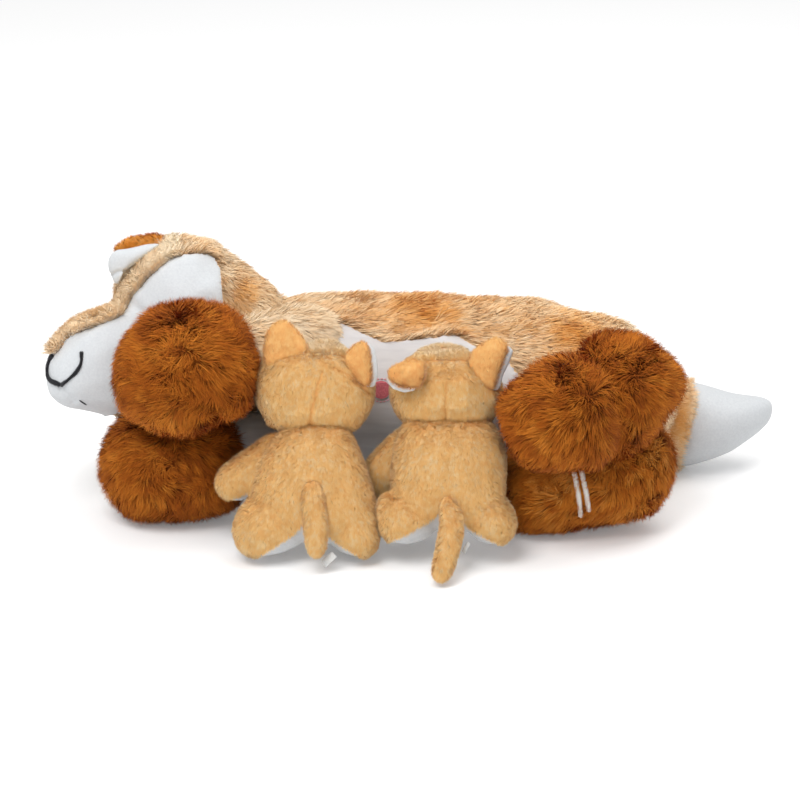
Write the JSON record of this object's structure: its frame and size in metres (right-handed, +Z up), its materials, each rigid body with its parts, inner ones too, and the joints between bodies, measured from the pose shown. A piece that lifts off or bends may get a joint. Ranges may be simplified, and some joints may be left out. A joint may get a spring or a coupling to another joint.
{
  "type": "plush fox",
  "caption": "Nursing plush fox lying on its side, long-pile paws and a white belly panel, with small plush kits held muzzle-first at its belly by magnets.",
  "frame": {"origin": "middle of the floor under the whole set (bottom centre of its box)", "axes": "+X from the fox's nose towards its tail, along its length, -Y the side that its belly and the kits face, +Z up"},
  "size_m": [0.486, 0.2626, 0.1747],
  "materials": {
    "tan_plush": "long combed pile, tan with golden patches",
    "apricot_plush": "short dense pile, apricot tan",
    "brown_plush": "long loose pile, rust brown",
    "white_plush": "smooth short pile, white",
    "pink_felt": "thin felt, stitched round its edge",
    "stuffing": "loose white fibre filling",
    "yarn": "twisted white yarn",
    "magnet": "plated disc magnet, sewn in"
  },
  "bodies": {
    "torso": {"torso_back_skin": "tan_plush", "belly_panel": "white_plush", "torso_filling": "stuffing", "nipple_1": "pink_felt", "nipple_magnet_1": "magnet", "nipple_2": "pink_felt", "nipple_magnet_2": "magnet", "nipple_3": "pink_felt", "nipple_magnet_3": "magnet"},
    "head": {"head_skin": "tan_plush", "face_panel": "white_plush", "head_filling": "stuffing"},
    "ear_left": {"ear_left_back": "brown_plush", "ear_left_lining": "white_plush"},
    "ear_right": {"ear_right_back": "brown_plush", "ear_right_lining": "white_plush"},
    "front_upper": {"front_upper_sleeve": "tan_plush", "front_upper_paw_skin": "brown_plush", "front_upper_filling": "stuffing"},
    "front_lower": {"front_lower_sleeve": "tan_plush", "front_lower_paw_skin": "brown_plush", "front_lower_filling": "stuffing"},
    "hind_upper": {"hind_upper_skin": "brown_plush", "hind_upper_filling": "stuffing"},
    "hind_lower": {"hind_lower_skin": "brown_plush", "hind_lower_filling": "stuffing", "toe_yarn_1": "yarn", "toe_yarn_2": "yarn"},
    "tail": {"tail_root_skin": "tan_plush", "tail_tip_skin": "white_plush", "tail_filling": "stuffing"},
    "kit_1": {"kit_1_back_skin": "apricot_plush", "kit_1_belly_panel": "white_plush", "kit_1_body_filling": "stuffing", "kit_1_sewn_tab": "white_plush"},
    "kit_1_head": {"kit_1_head_skin": "apricot_plush", "kit_1_head_filling": "stuffing", "kit_1_nose_magnet": "magnet", "kit_1_ear_left_back": "apricot_plush", "kit_1_ear_left_lining": "white_plush", "kit_1_ear_right_back": "apricot_plush", "kit_1_ear_right_lining": "white_plush"},
    "kit_1_tail": {"kit_1_tail": "apricot_plush"},
    "kit_2": {"kit_2_back_skin": "apricot_plush", "kit_2_belly_panel": "white_plush", "kit_2_body_filling": "stuffing", "kit_2_sewn_tab": "white_plush"},
    "kit_2_head": {"kit_2_head_skin": "apricot_plush", "kit_2_head_filling": "stuffing", "kit_2_nose_magnet": "magnet", "kit_2_ear_left_back": "apricot_plush", "kit_2_ear_left_lining": "white_plush", "kit_2_ear_right_back": "apricot_plush", "kit_2_ear_right_lining": "white_plush"},
    "kit_2_tail": {"kit_2_tail": "apricot_plush"}
  },
  "joints": [
    {"name": "head_lift", "type": "hinge", "parent": "torso", "child": "head", "pos_m": [-0.1139, 0.075, 0.08253], "axis": [0, 1, 0], "range_deg": [0, 12], "stiffness_Nm_per_rad": 3},
    {"name": "ear_left_flop", "type": "hinge", "parent": "head", "child": "ear_left", "pos_m": [-0.16153, 0.04668, 0.15916], "axis": [0.2446, -0.2013, -0.9485], "range_deg": [-8, 12], "stiffness_Nm_per_rad": 0.05},
    {"name": "ear_right_flop", "type": "hinge", "parent": "head", "child": "ear_right", "pos_m": [-0.18125, 0.09656, 0.13066], "axis": [0.8454, 0.5341, -0.0033], "range_deg": [0, 18], "stiffness_Nm_per_rad": 0.05},
    {"name": "front_upper_lift", "type": "hinge", "parent": "torso", "child": "front_upper", "pos_m": [-0.07222, 0.02946, 0.10742], "axis": [-0.462, 0.8869, 0], "range_deg": [0, 14], "stiffness_Nm_per_rad": 0.3},
    {"name": "front_lower_swing", "type": "hinge", "parent": "torso", "child": "front_lower", "pos_m": [-0.08672, 0.01635, 0.04061], "axis": [0, 0, 1], "range_deg": [-5, 7], "stiffness_Nm_per_rad": 0.3},
    {"name": "hind_upper_lift", "type": "hinge", "parent": "torso", "child": "hind_upper", "pos_m": [0.13072, 0.03084, 0.08646], "axis": [-1, 0, 0], "range_deg": [0, 16], "stiffness_Nm_per_rad": 0.3},
    {"name": "hind_lower_swing", "type": "hinge", "parent": "torso", "child": "hind_lower", "pos_m": [0.11864, 0.01566, 0.03668], "axis": [0, 0, 1], "range_deg": [-3, 12], "stiffness_Nm_per_rad": 0.3},
    {"name": "tail_swing", "type": "hinge", "parent": "torso", "child": "tail", "pos_m": [0.16545, 0.06672, 0.03472], "axis": [0, 0, 1], "range_deg": [-10, 14], "stiffness_Nm_per_rad": 0.3},
    {"name": "kit_1_pull", "type": "slide", "parent": "torso", "child": "kit_1", "axis": [0, -1, 0], "range_m": [0, 0.12]},
    {"name": "kit_1_nod", "type": "hinge", "parent": "kit_1", "child": "kit_1_head", "pos_m": [-0.0658, -0.05328, 0.0728], "axis": [1, 0, 0], "range_deg": [0, 16], "stiffness_Nm_per_rad": 0.05},
    {"name": "kit_1_tail_lift", "type": "hinge", "parent": "kit_1", "child": "kit_1_tail", "pos_m": [-0.0675, -0.09186, 0.04887], "axis": [-1, 0, 0], "range_deg": [0, 50], "stiffness_Nm_per_rad": 0.02},
    {"name": "kit_2_pull", "type": "slide", "parent": "torso", "child": "kit_2", "axis": [0, -1, 0], "range_m": [0, 0.12]},
    {"name": "kit_2_nod", "type": "hinge", "parent": "kit_2", "child": "kit_2_head", "pos_m": [0.0192, -0.05328, 0.07728], "axis": [1, 0, 0], "range_deg": [0, 16], "stiffness_Nm_per_rad": 0.05},
    {"name": "kit_2_tail_lift", "type": "hinge", "parent": "kit_2", "child": "kit_2_tail", "pos_m": [0.0192, -0.091, 0.05468], "axis": [-1, 0, 0], "range_deg": [0, 50], "stiffness_Nm_per_rad": 0.02}
  ]
}
